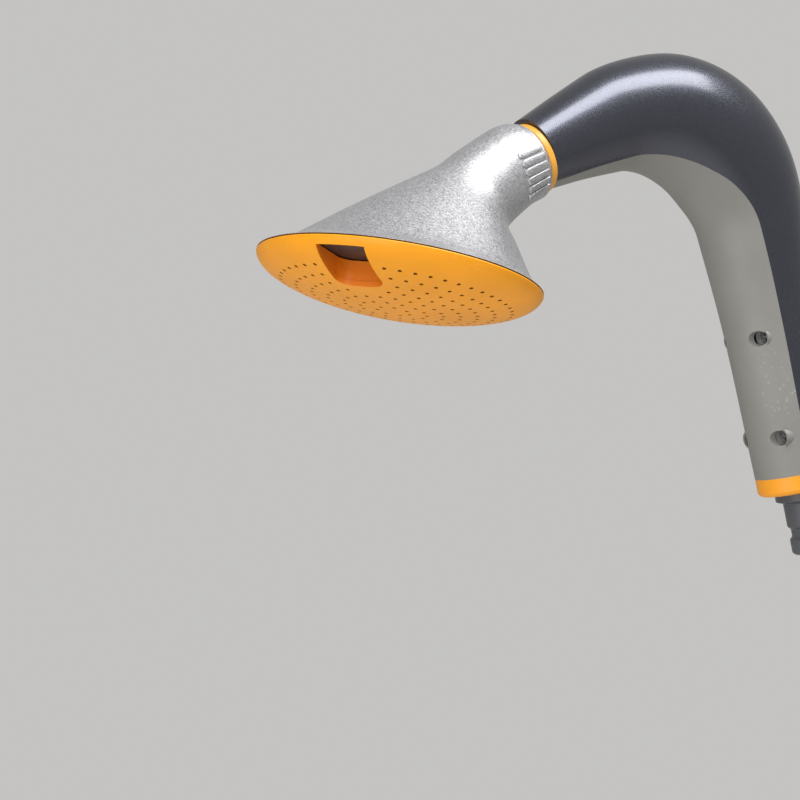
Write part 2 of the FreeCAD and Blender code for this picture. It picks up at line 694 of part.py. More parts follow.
def valve_seats():
    ball = Part.makeSphere(BALL_R + RUN_CLEAR)
    lip = CHAMBER_HALF - SEAT_T
    upper = pipe(CHAMBER_R, TUBE_BORE_R, -CHAMBER_HALF, -lip).cut(ball)
    lower = pipe(CHAMBER_R, TUBE_BORE_R, lip, CHAMBER_HALF).cut(ball)
    return at_valve(Part.Compound([only_solid(upper), only_solid(lower)]))


def tang_block(length):
    """Flat key between stem and ball, from just outside the ball's bore."""
    corner = FreeCAD.Vector(-TANG_T / 2.0, -TANG_W / 2.0, TUBE_BORE_R + CUT)
    return Part.makeBox(TANG_T, TANG_W, length, corner)


def valve_stem():
    tang = tang_block(BALL_R - TUBE_BORE_R - CUT).common(rod(STEM_R, 0, FAR))
    shaft = rod(STEM_R, BALL_R, KNOB_TOP - KNOB_ROOF)
    pilot = rod(SCREW_R, KNOB_TOP - KNOB_ROOF - KNOB_SCREW_LEN, FAR)
    return on_stem(shaft.fuse(tang).cut(pilot))


def stem_oring():
    ring = Part.makeTorus(STEM_R + GLAND_W / 2.0, GLAND_W / 2.0, ZERO, UP)
    return on_stem(ring.translated(UP * (TOWER_TOP - GLAND_W)))


def flow_knob():
    low = KNOB_SEAT + FACE_GAP
    disc = rod(KNOB_R, low, KNOB_TOP)
    paddle = Part.makeBox(PADDLE_LEN, PADDLE_W, KNOB_H, FreeCAD.Vector(0, -PADDLE_W / 2.0, low))
    tip = rod(PADDLE_W / 2.0, low, KNOB_TOP).translated(FreeCAD.Vector(PADDLE_LEN, 0, 0))
    shape = disc.fuse([paddle, tip]).removeSplitter()
    shape = shape.makeFillet(KNOB_EDGE_R, [e for e in shape.Edges if abs(e.BoundBox.ZMin - KNOB_TOP) < SAME])
    seat = rod(STEM_R, 0, KNOB_TOP - KNOB_ROOF)
    recess = rod(SCREW_HEAD_R + RUN_CLEAR, KNOB_TOP - SCREW_HEAD_H, FAR)
    return on_stem(shape.cut([seat, recess, rod(SCREW_R, 0, FAR)]))


def knob_screw():
    length = KNOB_SCREW_LEN + KNOB_ROOF - SCREW_HEAD_H
    base = VALVE_CENTRE + HANDLE_OUT * (KNOB_TOP - SCREW_HEAD_H)
    return screw(base, -HANDLE_OUT, length)


def inlet_tube():
    top = VALVE_CENTRE + HANDLE_AXIS * (VALVE_HALF - TUBE_SOCKET_IN)
    length = (INLET_MOUTH - top).dot(HANDLE_AXIS)
    wide_from = length - INLET_SEAT - INLET_WALL
    shape = pipe(TUBE_R, TUBE_BORE_R, 0, wide_from).fuse(pipe(INLET_OUTER_R, TUBE_BORE_R, wide_from, length))
    clip_low = length - NIPPLE_CLIP_AT - CLIP_T
    clip_seat = rod(INLET_BORE_R + NIPPLE_CLIP_OUT, clip_low, clip_low + CLIP_T)
    shape = shape.cut([rod(INLET_BORE_R, length - INLET_SEAT, length), clip_seat])
    return placed(shape, top, HANDLE_AXIS)


def inlet_filter():
    """Strainer disc on the bottom of the inlet bore."""
    at = -INLET_SEAT
    disc = rod(INLET_BORE_R, at, at + FILTER_T)
    drill = rod(FILTER_HOLE_R, at - CUT, at + CUT + FILTER_T)
    steps = (-FILTER_STEP, 0.0, FILTER_STEP)
    holes = [drill.translated(FreeCAD.Vector(x, y, 0)) for x in steps for y in steps]
    return placed(disc.cut(holes), INLET_MOUTH, HANDLE_AXIS)


def hose_nipple():
    """Turns in the inlet; its land and waist are what a hose coupling holds."""
    spigot_r = INLET_BORE_R - RUN_CLEAR
    land_low = NIPPLE_LEN - NIPPLE_LAND_LEN - NIPPLE_TIP
    waist_low = land_low - NIPPLE_WAIST_LEN
    points = [
        (NIPPLE_BORE_R, -INLET_SEAT + FILTER_T + CUT),
        (spigot_r, -INLET_SEAT + FILTER_T + CUT),
        (spigot_r, 0),
        (NIPPLE_FLANGE_R, 0),
        (NIPPLE_FLANGE_R, NIPPLE_FLANGE_T),
        (NIPPLE_LAND_R, NIPPLE_FLANGE_T + CUT),
        (NIPPLE_LAND_R, waist_low),
        (NIPPLE_WAIST_R, waist_low + CUT),
        (NIPPLE_WAIST_R, land_low - CUT),
        (NIPPLE_LAND_R, land_low),
        (NIPPLE_LAND_R, NIPPLE_LEN - NIPPLE_TIP),
        (NIPPLE_LAND_R - NIPPLE_TIP, NIPPLE_LEN),
        (NIPPLE_BORE_R, NIPPLE_LEN),
    ]
    clip_low = -NIPPLE_CLIP_AT - CLIP_T - 2.0 * FACE_GAP
    clip_groove = pipe(FAR, spigot_r - NIPPLE_CLIP_IN - FACE_GAP, clip_low, -NIPPLE_CLIP_AT)
    cuts = [groove(spigot_r, -NIPPLE_ORING_AT), clip_groove]
    return placed(turned(points).cut(cuts), NIPPLE_BASE, HANDLE_AXIS)


def nipple_oring():
    ring = ring_of(INLET_BORE_R - RUN_CLEAR - ORING_R, -NIPPLE_ORING_AT)
    return placed(ring, NIPPLE_BASE, HANDLE_AXIS)


def nipple_clip():
    low = -NIPPLE_CLIP_AT - CLIP_T
    ring = pipe(INLET_BORE_R + NIPPLE_CLIP_OUT, INLET_BORE_R - NIPPLE_CLIP_IN, low, low + CLIP_T)
    gap = Part.makeBox(FAR, CLIP_RISE, FAR, FreeCAD.Vector(0, -CLIP_RISE / 2.0, -FAR / 2.0))
    return placed(ring.cut(gap), INLET_MOUTH, HANDLE_AXIS)


# ---------------------------------------------------------------- write every piece
NODES = {
    "rose_shell": rose_shell,
    "face_plate": face_plate,
    "port_plate": port_plate,
    "face_seal": face_seal,
    "face_clip": face_clip,
    "plate_screws": plate_screws,
    "neck_spigot": neck_spigot,
    "neck_orings": neck_orings,
    "neck_clip": neck_clip,
    "neck_ring": neck_ring,
    "body_upper": body_upper,
    "body_lower": body_lower,
    "body_screws": body_screws,
    "end_cap": end_cap,
    "water_tube": water_tube,
    "tube_oring": tube_oring,
    "valve_housing": valve_housing,
    "valve_cap": valve_cap,
    "valve_ball": valve_ball,
    "valve_seats": valve_seats,
    "valve_stem": valve_stem,
    "stem_oring": stem_oring,
    "flow_knob": flow_knob,
    "knob_screw": knob_screw,
    "inlet_tube": inlet_tube,
    "inlet_filter": inlet_filter,
    "hose_nipple": hose_nipple,
    "nipple_oring": nipple_oring,
    "nipple_clip": nipple_clip,
}

for name, make in NODES.items():
    make().translated(-LAND_MIDDLE).exportStep("parts/" + name + ".step")
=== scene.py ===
"""Looks of a hand-held watering wand, laid out as a Blender add-on and run as a script.

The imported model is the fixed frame. Every visible shell gets a finely shaped piece that stands for
its node, and every node that stays gets a detailed material. Lengths are metres in that frame.
"""
import json
import math

import bmesh
import bpy
from mathutils import Matrix, Vector
from mathutils.bvhtree import BVHTree
from mathutils.kdtree import KDTree


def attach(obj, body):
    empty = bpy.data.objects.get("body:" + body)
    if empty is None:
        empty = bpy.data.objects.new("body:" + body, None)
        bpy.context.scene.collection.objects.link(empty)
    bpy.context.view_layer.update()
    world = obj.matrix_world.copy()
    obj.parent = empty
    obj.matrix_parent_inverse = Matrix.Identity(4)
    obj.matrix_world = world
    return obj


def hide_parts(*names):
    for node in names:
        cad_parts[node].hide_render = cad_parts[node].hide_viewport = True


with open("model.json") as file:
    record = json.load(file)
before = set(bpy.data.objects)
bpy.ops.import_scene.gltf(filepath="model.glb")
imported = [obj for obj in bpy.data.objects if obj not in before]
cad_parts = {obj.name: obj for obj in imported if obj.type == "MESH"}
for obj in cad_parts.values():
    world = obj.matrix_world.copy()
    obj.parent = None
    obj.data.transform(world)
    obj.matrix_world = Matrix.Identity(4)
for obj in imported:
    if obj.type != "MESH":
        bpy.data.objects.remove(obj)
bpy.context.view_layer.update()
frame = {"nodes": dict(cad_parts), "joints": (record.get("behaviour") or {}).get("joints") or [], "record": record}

bl_info = {
    "name": "Watering wand",
    "version": (1, 0, 0),
    "blender": (4, 5, 0),
    "location": "View3D > Sidebar > Wand",
    "description": "Builds the shells, spray face and finishes of a hand-held watering wand",
    "category": "Object",
}

MM = 0.001
JOINTS = {joint["name"]: joint for joint in frame["joints"]}
UP = Vector((0.0, 0.0, 1.0))
SIDE = Vector((0.0, 1.0, 0.0))


def joint_point(name):
    return Vector(JOINTS[name]["pos_m"])


def joint_axis(name):
    return Vector(JOINTS[name]["axis"]).normalized()


RIM = joint_point("face_turn")          # centre of the rose's rim
NECK_END = joint_point("rose_turn")     # end of the rose's neck, on its axis
NECK_AXIS = joint_axis("rose_turn")
VALVE = joint_point("flow_turn")
HANDLE_OUT = joint_axis("flow_turn")
INLET = joint_point("hose_swivel")      # face of the inlet nipple's flange
HANDLE_AXIS = joint_axis("hose_swivel")
NECK_TILT = math.atan2(NECK_AXIS.z, NECK_AXIS.x)
HANDLE_DROP = -math.atan2(HANDLE_AXIS.z, HANDLE_AXIS.x)

# Rose between rim and neck: share of the way in X and in Z, share of the extra radius, share of the turn.
ROSE_STATIONS = (
    (0.0, 0.0, 1.0, 0.0),
    (0.117, 0.080, 0.793, 0.054),
    (0.366, 0.399, 0.338, 0.29),
    (0.507, 0.568, 0.111, 0.64),
    (0.616, 0.709, 0.056, 0.95),
    (0.843, 0.916, 0.026, 1.0),
    (1.0, 1.0, 0.0, 1.0),
)
# Body along its centre line, in millimetres: distance, reach outwards, reach inwards, half width.
BODY_STATIONS = (
    (0.0, 14.6, 12.3, 13.1),
    (17.0, 17.5, 14.5, 15.0),
    (34.0, 20.1, 17.6, 17.0),
    (48.0, 22.2, 20.2, 18.4),
    (64.0, 26.0, 22.5, 20.0),
    (80.0, 27.6, 23.7, 20.6),
    (96.0, 26.2, 24.0, 20.2),
    (118.0, 22.0, 21.6, 18.6),
    (157.0, 19.0, 18.6, 16.4),
    (213.3, 18.2, 17.2, 15.6),
)
# Parting line between the shells, in millimetres: distance, offset to the inner side.
PARTING_STATIONS = (
    (0.0, 10.2),
    (17.0, 11.4),
    (34.0, 13.5),
    (48.0, 15.3),
    (64.0, 16.2),
    (80.0, 15.6),
    (96.0, 13.2),
    (118.0, 9.2),
    (157.0, 6.4),
    (213.3, 6.0),
)


# ---------------------------------------------------------------- settings
class WandSizes(bpy.types.PropertyGroup):
    """Sizes of the pieces, in metres unless a unit says otherwise."""

    rim_radius: bpy.props.FloatProperty(
        name="Rim radius", description="Outer radius of the rose's rim", default=0.05, unit="LENGTH")
    neck_radius: bpy.props.FloatProperty(
        name="Neck radius", description="Outer radius just before the neck's rounded end",
        default=0.0143, unit="LENGTH")
    shell_wall: bpy.props.FloatProperty(
        name="Shell wall", description="Wall of the moulded shells", default=0.0022, unit="LENGTH")
    dome_depth: bpy.props.FloatProperty(
        name="Dome depth", description="How far the spray face bulges", default=0.0135, unit="LENGTH")
    face_wall: bpy.props.FloatProperty(
        name="Face wall", description="Wall of the spray face", default=0.002, unit="LENGTH")
    hole_radius: bpy.props.FloatProperty(
        name="Spray hole radius", description="Radius of a spray hole", default=0.0007, unit="LENGTH")
    hole_ring_step: bpy.props.FloatProperty(
        name="Hole ring step", description="Distance between rings of holes",
        default=0.00575, unit="LENGTH")
    slot_angle: bpy.props.FloatProperty(
        name="Slot angle", description="Where the spout slot is stored",
        default=math.radians(216.0), subtype="ANGLE")
    slot_width: bpy.props.FloatProperty(
        name="Slot width", description="Width of the spout slot", default=0.0175, unit="LENGTH")
    slot_inner: bpy.props.FloatProperty(
        name="Slot inner end", description="From the rose's axis to the slot",
        default=0.026, unit="LENGTH")
    slot_outer: bpy.props.FloatProperty(
        name="Slot outer end", description="From the rose's axis to the slot's outer end",
        default=0.0483, unit="LENGTH")
    ring_width: bpy.props.FloatProperty(
        name="Neck ring width", description="Width of the coloured ring", default=0.0032, unit="LENGTH")
    ring_radius: bpy.props.FloatProperty(
        name="Neck ring radius", description="Outer radius of the coloured ring",
        default=0.013, unit="LENGTH")
    body_run: bpy.props.FloatProperty(
        name="Body run", description="Straight part behind the ring", default=0.0346, unit="LENGTH")
    bend_radius: bpy.props.FloatProperty(
        name="Bend radius", description="Centre line of the arch", default=0.047, unit="LENGTH")
    handle_length: bpy.props.FloatProperty(
        name="Handle length", description="Straight part below the arch", default=0.095, unit="LENGTH")
    body_wall: bpy.props.FloatProperty(
        name="Body wall", description="Wall of the body shells", default=0.0023, unit="LENGTH")


class WandColours(bpy.types.PropertyGroup):
    """Colours of the finishes as sRGB hex."""

    silver: bpy.props.StringProperty(
        name="Silver", description="Flake lacquer on the rose", default="BCBCBF")
    orange: bpy.props.StringProperty(name="Orange", description="Spray face", default="F5A00C")
    # Painted shade: a darker, redder orange for the spout slot's walls and collar, which are the face's own
    # plastic.
    pocket: bpy.props.StringProperty(
        name="Pocket", description="Deep walls of the spout slot", default="EC7E18")
    ring: bpy.props.StringProperty(name="Ring", description="Neck ring", default="E6A440")
    graphite: bpy.props.StringProperty(name="Graphite", description="Upper body", default="4C4E58")
    grey: bpy.props.StringProperty(name="Grey", description="Lower body", default="83827E")
    black: bpy.props.StringProperty(name="Black", description="Port plate and valve", default="1D1E20")
    tube: bpy.props.StringProperty(name="Tube", description="Water tube", default="DAD9D2")
    seats: bpy.props.StringProperty(name="Seats", description="Valve seats", default="E6E6E2")
    nipple: bpy.props.StringProperty(name="Nipple", description="Hose nipple", default="4A4D52")
    rubber: bpy.props.StringProperty(name="Rubber", description="Seals and O-rings", default="1A1A1B")
    steel: bpy.props.StringProperty(name="Steel", description="Screws and clips", default="B9BBBE")
    brass: bpy.props.StringProperty(name="Brass", description="Turned fittings", default="C9A45C")
    lime: bpy.props.StringProperty(name="Lime", description="Dried drops on plastic", default="E8E4DA")
    haze: bpy.props.StringProperty(name="Haze", description="Dried drops on lacquer", default="D9DADB")
    # Painted shade: dark brown laid on the walls of the spray holes, where their insides fall into shade.
    painted_hole_shade: bpy.props.StringProperty(
        name="Stain", description="Walls of the spray holes", default="5A3A10")
    bloom: bpy.props.StringProperty(name="Bloom", description="Grey bloom on rubber", default="3A3A3B")
    floor: bpy.props.StringProperty(name="Floor", description="Studio floor", default="E4E2DE")
    air: bpy.props.StringProperty(name="Surroundings", description="Studio walls", default="ECEBE9")


def sizes():
    return bpy.context.scene.wand_sizes


def colours():
    return bpy.context.scene.wand_colours


# ---------------------------------------------------------------- helpers for shapes
def heading(angle):
    """Unit vector in the XZ plane, angle above +X."""
    return Vector((math.cos(angle), 0.0, math.sin(angle)))


def lying(base, axis):
    """Matrix that puts +Z along an axis of the XZ plane, at a base."""
    return Matrix.Translation(base) @ Matrix.Rotation(math.atan2(axis.x, axis.z), 4, "Y")


def smooth_value(stations, at, column):
    """Value of one column at a distance, on a smooth curve (Hermite) through the stations."""
    last = len(stations) - 1
    index = next((i for i in range(last) if at <= stations[i + 1][0]), last - 1)
    x0, x1 = stations[index][0], stations[index + 1][0]
    y0, y1 = stations[index][column], stations[index + 1][column]
    slope = (y1 - y0) / (x1 - x0)
    before = max(index - 1, 0)
    after = min(index + 2, last)
    slope0 = (y1 - stations[before][column]) / (x1 - stations[before][0])
    slope1 = (stations[after][column] - y0) / (stations[after][0] - x0)
    if index == 0:
        slope0 = slope
    share = (at - x0) / (x1 - x0)
    width = x1 - x0
    from_first = 2.0 * share ** 3 - 3.0 * share ** 2 + 1.0
    leaving = share ** 3 - 2.0 * share ** 2 + share
    arriving = share ** 3 - share ** 2
    return (from_first * y0 + leaving * width * slope0
            + (1.0 - from_first) * y1 + arriving * width * slope1)


def extruded_row(bm, row):
    """Extrudes a row of vertices along its edges and returns the new row in the same order."""
    members = set(row)
    edges = {e for v in row for e in v.link_edges if e.verts[0] in members and e.verts[1] in members}
    made = bmesh.ops.extrude_edge_only(bm, edges=list(edges))["geom"]
    fresh = {g for g in made if isinstance(g, bmesh.types.BMVert)}
    return [next(e.other_vert(v) for e in v.link_edges if e.other_vert(v) in fresh) for v in row]


def loft(bm, rows, closed):
    """Joins rows of points: the first is drawn, the others are extruded from it and moved."""
    first = [bm.verts.new(point) for point in rows[0]]
    for a, b in zip(first, first[1:] + first[:1] if closed else first[1:]):
        bm.edges.new((a, b))
    row = first
    for points in rows[1:]:
        row = extruded_row(bm, row)
        for vert, point in zip(row, points):
            vert.co = point
    return first, row


def join_rows(bm, first, last):
    """Closes a tube of rows into a ring-shaped solid."""
    def around(row):
        members = set(row)
        return [e for e in bm.edges if e.verts[0] in members and e.verts[1] in members and e.is_boundary]
    bmesh.ops.bridge_loops(bm, edges=around(first) + around(last))


def turned(profile, steps, matrix):
    """Solid of revolution about +Z from (radius, height) corners of a closed outline."""
    bm = bmesh.new()
    verts = [bm.verts.new((r, 0.0, z)) for r, z in profile]
    edges = [bm.edges.new(pair) for pair in zip(verts, verts[1:] + verts[:1])]
    bmesh.ops.spin(bm, geom=verts + edges, cent=(0, 0, 0), axis=(0, 0, 1), dvec=(0, 0, 0),
                   angle=math.tau, steps=steps, use_merge=True, use_duplicate=False)
    bmesh.ops.remove_doubles(bm, verts=bm.verts, dist=1e-7)
    bmesh.ops.recalc_face_normals(bm, faces=bm.faces)
    bmesh.ops.transform(bm, matrix=matrix, verts=bm.verts)
    return bm


def piece(name, bm, body, material, replaced=(), smooth=35.0):
    """Turns a bmesh into a finished piece that rides on a body."""
    mesh = bpy.data.meshes.new(name)
    bm.to_mesh(mesh)
    bm.free()
    mesh.polygons.foreach_set("use_smooth", [True] * len(mesh.polygons))
    mesh.set_sharp_from_angle(angle=math.radians(smooth))
    mesh.materials.append(material)
    thing = bpy.data.objects.new(name, mesh)
    bpy.context.scene.collection.objects.link(thing)
    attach(thing, body)
    if replaced:
        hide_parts(*replaced)
    return thing


def carved(thing, cutter_bm):
    """Cuts a closed bmesh out of a piece and keeps the result as its mesh."""
    cutter_mesh = bpy.data.meshes.new("cutter")
    cutter_bm.to_mesh(cutter_mesh)
    cutter_bm.free()
    cutter = bpy.data.objects.new("cutter", cutter_mesh)
    bpy.context.scene.collection.objects.link(cutter)
    cut = thing.modifiers.new("cut", "BOOLEAN")
    cut.object = cutter
    cut.operation = "DIFFERENCE"
    cut.solver = "EXACT"
    graph = bpy.context.evaluated_depsgraph_get()
    mesh = bpy.data.meshes.new_from_object(thing.evaluated_get(graph))
    thing.modifiers.clear()
    old = thing.data
    thing.data = mesh
    mesh.name = thing.name
    bpy.data.meshes.remove(old)
    bpy.data.objects.remove(cutter)
    bpy.data.meshes.remove(cutter_mesh)
    return thing


def soft_edges(thing, width, segments=2, angle=35.0):
    """Small radius on every crisp edge, as a mould leaves it."""
    bevel = thing.modifiers.new("edge radius", "BEVEL")
    bevel.width = width
    bevel.segments = segments
    bevel.limit_method = "ANGLE"
    bevel.angle_limit = math.radians(angle)
    bevel.harden_normals = True
    bevel.use_clamp_overlap = True
    return thing


# ---------------------------------------------------------------- helpers for materials
def linear(code):
    """sRGB hex to linear RGBA."""
    values = [int(code[i:i + 2], 16) / 255.0 for i in (0, 2, 4)]
    return [v / 12.92 if v <= 0.04045 else ((v + 0.055) / 1.055) ** 2.4 for v in values] + [1.0]


def add(tree, kind, inputs=None, **settings):
    """Adds a node, sets its properties and fills or links its inputs."""
    made = tree.nodes.new(kind)
    for key, value in settings.items():
        setattr(made, key, value)
    for key, value in (inputs or {}).items():
        if isinstance(value, bpy.types.NodeSocket):
            tree.links.new(value, made.inputs[key])
        else:
            made.inputs[key].default_value = value
    return made


def fresh_material(name):
    material = bpy.data.materials.new(name)
    material.use_nodes = True
    tree = material.node_tree
    tree.nodes.clear()
    shader = add(tree, "ShaderNodeBsdfPrincipled")
    add(tree, "ShaderNodeOutputMaterial", {"Surface": shader.outputs["BSDF"]})
    place = add(tree, "ShaderNodeTexCoord").outputs["Object"]
    return material, tree, shader, place


def per_metre(millimetres):
    """Texture scale that repeats a pattern every so many millimetres."""
    return 1.0 / (millimetres * MM)


# Sockets of a Mix node set to colours, by number because its plain sockets share their names.
SHARE, FIRST, SECOND, BLEND = 0, 6, 7, 2


def shade(code, factor):
    return [min(v * factor, 1.0) for v in linear(code)[:3]] + [1.0]


def cloudy(tree, place, size_mm, low, high, least, most, detail=3.0, rough=0.5):
    """Soft patches about size_mm across: noise from low to high is spread over least to most."""
    noise = add(tree, "ShaderNodeTexNoise", {
        "Vector": place, "Scale": per_metre(size_mm), "Detail": detail, "Roughness": rough})
    spread = add(tree, "ShaderNodeMapRange", {
        "Value": noise.outputs["Fac"], "From Min": low, "From Max": high, "To Min": least, "To Max": most})
    return spread.outputs["Result"]


def grained(tree, place, size_mm, depth_mm, strength, detail=3.0, rough=0.5):
    """Normal of a fine grain, size_mm across and depth_mm high."""
    grains = add(tree, "ShaderNodeTexNoise", {
        "Vector": place, "Scale": per_metre(size_mm), "Detail": detail, "Roughness": rough})
    raised = add(tree, "ShaderNodeBump", {
        "Height": grains.outputs["Fac"], "Distance": depth_mm * MM, "Strength": strength})
    return raised.outputs["Normal"]


def layered(tree, base, layers):
    """Lays (share, colour) layers over a base colour, one after the other."""
    for share, colour in layers:
        base = add(tree, "ShaderNodeMix", {SHARE: share, FIRST: base, SECOND: colour},
                   data_type="RGBA").outputs[BLEND]
    return base


def dried_drops(tree, place, size_mm):
    """Mask of the faint rings and specks that drying water leaves, about size_mm across."""
    cells = add(tree, "ShaderNodeTexVoronoi", {
        "Vector": place, "Scale": per_metre(size_mm), "Randomness": 1.0})
    ring = add(tree, "ShaderNodeMapRange", {
        "Value": cells.outputs["Distance"], "From Min": 0.16, "From Max": 0.26, "To Min": 1.0, "To Max": 0.0})
    wetted = cloudy(tree, place, size_mm * 9.0, 0.56, 0.66, 0.0, 1.0)
    mask = add(tree, "ShaderNodeMath", {0: ring.outputs["Result"], 1: wetted}, operation="MULTIPLY")
    return mask.outputs[0]


def flake_lacquer(name, code, flake_mm, sparkle, metallic, roughness, coat, marks):
    """ABS sprayed with metal-flake lacquer: grainy sparkle under a clear skin, faint water marks.

    Real flakes are about 0.05 mm across; they are drawn several times coarser so that they show.
    """
    full_relief = 0.2
    material, tree, shader, place = fresh_material(name)
    flakes = add(tree, "ShaderNodeTexVoronoi", {
        "Vector": place, "Scale": per_metre(flake_mm), "Randomness": 1.0})
    glint = add(tree, "ShaderNodeSeparateColor", {"Color": flakes.outputs["Color"]}).outputs[0]
    drops = dried_drops(tree, place, 2.6)
    dried = add(tree, "ShaderNodeMath", {0: drops, 1: marks}, operation="MULTIPLY").outputs[0]
    colour = layered(tree, shade(code, 1.0 - sparkle), (
        (glint, shade(code, 1.0 + sparkle)),
        (cloudy(tree, place, 34.0, 0.35, 0.65, 0.0, 0.35, 2.0), shade(code, 0.92)),
        (dried, linear(colours().haze)),
    ))
    tree.links.new(colour, shader.inputs["Base Color"])
    shader.inputs["Metallic"].default_value = metallic
    dull = add(tree, "ShaderNodeMapRange", {
        "Value": glint, "To Min": roughness - 0.06, "To Max": roughness + 0.08}).outputs["Result"]
    worn = add(tree, "ShaderNodeMath", {0: dull, 1: dried}, operation="ADD")
    tree.links.new(worn.outputs[0], shader.inputs["Roughness"])
    shader.inputs["Coat Weight"].default_value = coat
    shader.inputs["Coat Roughness"].default_value = 0.16
    relief = add(tree, "ShaderNodeBump", {
        "Height": glint, "Distance": 0.03 * MM, "Strength": 0.5 * sparkle / full_relief,
        "Normal": grained(tree, place, flake_mm * 2.2, 0.05, 0.35 * sparkle / full_relief, 4.0, 0.7)})
    tree.links.new(relief.outputs["Normal"], shader.inputs["Normal"])
    return material


def moulded_plastic(name, code, roughness, grain_mm=0.35, grain=0.12, glow=0.0, marks=0.12, sheen=0.5,
                    painted_recesses=False):
    """Injection-moulded plastic: faint clouding, fine mould grain, softer gloss where water dried."""
    material, tree, shader, place = fresh_material(name)
    drops = dried_drops(tree, place, 2.2)
    dried = add(tree, "ShaderNodeMath", {0: drops, 1: marks}, operation="MULTIPLY").outputs[0]
    layers = [
        (cloudy(tree, place, 22.0, 0.3, 0.7, 0.0, 1.0), shade(code, 1.04)),
        (cloudy(tree, place, 1.1, 0.55, 0.8, 0.0, marks, 3.0, 0.6), shade(code, 0.75)),
        (dried, linear(colours().lime)),
    ]
    # Painted shade in the recesses: the slot's walls and the spray holes' walls, marked by mesh attributes.
    if painted_recesses:
        for attribute, tint in (("painted_slot_shade", colours().pocket), ("painted_hole_shade", colours().painted_hole_shade)):
            mask = add(tree, "ShaderNodeAttribute", attribute_name=attribute).outputs["Fac"]
            layers.append((mask, linear(tint)))
    tree.links.new(layered(tree, shade(code, 0.94), layers), shader.inputs["Base Color"])
    shader.inputs["IOR"].default_value = 1.54
    shader.inputs["Specular IOR Level"].default_value = sheen
    if glow > 0.0:
        shader.inputs["Subsurface Weight"].default_value = glow
        shader.inputs["Subsurface Radius"].default_value = (1.0, 0.45, 0.12)
        shader.inputs["Subsurface Scale"].default_value = 0.0015
    uneven = cloudy(tree, place, 6.0, 0.3, 0.7, roughness - 0.05, roughness + 0.06, 4.0)
    worn = add(tree, "ShaderNodeMath", {0: drops, 1: 0.12, 2: uneven}, operation="MULTIPLY_ADD")
    tree.links.new(worn.outputs[0], shader.inputs["Roughness"])
    tree.links.new(grained(tree, place, grain_mm, 0.03, grain, 2.0), shader.inputs["Normal"])
    return material


def machined_metal(name, code, roughness, line_mm=0.12):
    """Turned or drawn metal: fine tool lines stretched along the work, slight tarnish."""
    material, tree, shader, place = fresh_material(name)
    drawn = add(tree, "ShaderNodeMapping", {"Vector": place, "Scale": (1.0, 0.08, 1.0)}).outputs["Vector"]
    colour = layered(tree, linear(code), (
        (cloudy(tree, place, 2.5, 0.4, 0.7, 0.0, 0.5, 4.0), shade(code, 0.72)),
    ))
    tree.links.new(colour, shader.inputs["Base Color"])
    shader.inputs["Metallic"].default_value = 1.0
    gloss = cloudy(tree, drawn, line_mm, 0.3, 0.7, roughness - 0.07, roughness + 0.09)
    tree.links.new(gloss, shader.inputs["Roughness"])
    tree.links.new(grained(tree, drawn, line_mm, 0.01, 0.3), shader.inputs["Normal"])
    return material


def nitrile_rubber(name, code):
    """Moulded nitrile rubber: dark, dull, with a grey bloom and a faint flash grain."""
    material, tree, shader, place = fresh_material(name)
    colour = layered(tree, linear(code), (
        (cloudy(tree, place, 1.6, 0.45, 0.75, 0.0, 0.6, 4.0), linear(colours().bloom)),
    ))
    tree.links.new(colour, shader.inputs["Base Color"])
    tree.links.new(cloudy(tree, place, 1.6, 0.3, 0.7, 0.55, 0.75, 4.0), shader.inputs["Roughness"])
    tree.links.new(grained(tree, place, 0.2, 0.02, 0.2), shader.inputs["Normal"])
    return material


def painted_board(name, code):
    """Painted board: pale, matt, with very slight roller texture."""
    material, tree, shader, place = fresh_material(name)
    colour = layered(tree, shade(code, 0.985), (
        (cloudy(tree, place, 180.0, 0.3, 0.7, 0.0, 1.0), linear(code)),
    ))
    tree.links.new(colour, shader.inputs["Base Color"])
    shader.inputs["Roughness"].default_value = 0.75
    tree.links.new(grained(tree, place, 1.5, 0.1, 0.1), shader.inputs["Normal"])
    return material


def make_finishes():
    """One material for each of the record's slots."""
    c = colours()
    return {
        "shell_silver": flake_lacquer(
            "abs_silver_flake_lacquer", c.silver, flake_mm=0.42, sparkle=0.26, metallic=0.82,
            roughness=0.42, coat=0.15, marks=0.06),
        # The face's finish carries painted shade in the spray holes and on the slot's walls.
        "orange_plastic": moulded_plastic(
            "abs_orange_moulded", c.orange, 0.42, glow=0.03, marks=0.06, sheen=0.32, painted_recesses=True),
        # The pocket finish is the face's orange, darker and redder: painted shade for the slot's collar.
        "pocket": moulded_plastic(
            "abs_orange_moulded_painted_shade", c.pocket, 0.4, glow=0.05, marks=0.05, sheen=0.35),
        "ring_orange": moulded_plastic("abs_amber_moulded", c.ring, 0.32, glow=0.12, marks=0.08),
        "orange_cap": moulded_plastic("pp_orange_moulded", c.orange, 0.42, glow=0.10, marks=0.10),
        "black_plastic": moulded_plastic("acetal_black_moulded", c.black, 0.45, marks=0.06),
        "body_graphite": flake_lacquer(
            "abs_graphite_lacquer", c.graphite, flake_mm=0.26, sparkle=0.09, metallic=0.8,
            roughness=0.28, coat=0.5, marks=0.03),
        "body_grey": moulded_plastic("pp_warm_grey_grained", c.grey, 0.48, grain_mm=0.45, grain=0.3),
        "tube_white": moulded_plastic("pp_natural_moulded", c.tube, 0.4, glow=0.3, marks=0.08),
        "seat_white": moulded_plastic("ptfe_turned", c.seats, 0.38, glow=0.2, marks=0.03),
        "nipple_grey": moulded_plastic("acetal_grey_moulded", c.nipple, 0.38),
        "rubber": nitrile_rubber("nitrile_rubber_moulded", c.rubber),
        "steel": machined_metal("stainless_steel_drawn", c.steel, 0.28),
        "brass": machined_metal("brass_turned", c.brass, 0.26),
    }


FINISHES = {}
CAD_SLOTS = {row["node"]: row["material_slot"] for row in frame["record"]["subparts"]}


def finish(slot_name):
    if not FINISHES:
        FINISHES.update(make_finishes())
    return FINISHES[slot_name]


